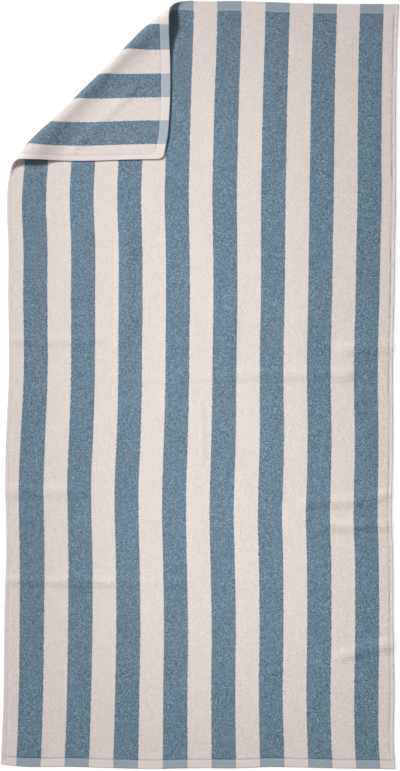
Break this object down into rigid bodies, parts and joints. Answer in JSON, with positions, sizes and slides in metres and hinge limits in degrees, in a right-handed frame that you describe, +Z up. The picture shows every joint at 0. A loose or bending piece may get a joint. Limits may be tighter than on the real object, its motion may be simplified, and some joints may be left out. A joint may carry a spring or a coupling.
{
  "type": "bath towel",
  "caption": "Striped cotton terry bath towel lying flat, with flat-woven hems and a top corner folded over on to its front; dries the body and lies or hangs where it is put.",
  "frame": {"origin": "middle of the towel's footprint, on the surface it lies on", "axes": "+X across the towel, +Y along it towards the end with the folded corner, +Z up out of its front; the folded corner is at low X and high Y"},
  "size_m": [0.7268, 1.4043, 0.0241],
  "materials": {
    "terry": "matt cotton terry in even lengthwise stripes of greyish blue and off-white, with flat-woven hems in paler shades of both"
  },
  "bodies": {
    "root": {"towel": "terry"}
  },
  "joints": []
}
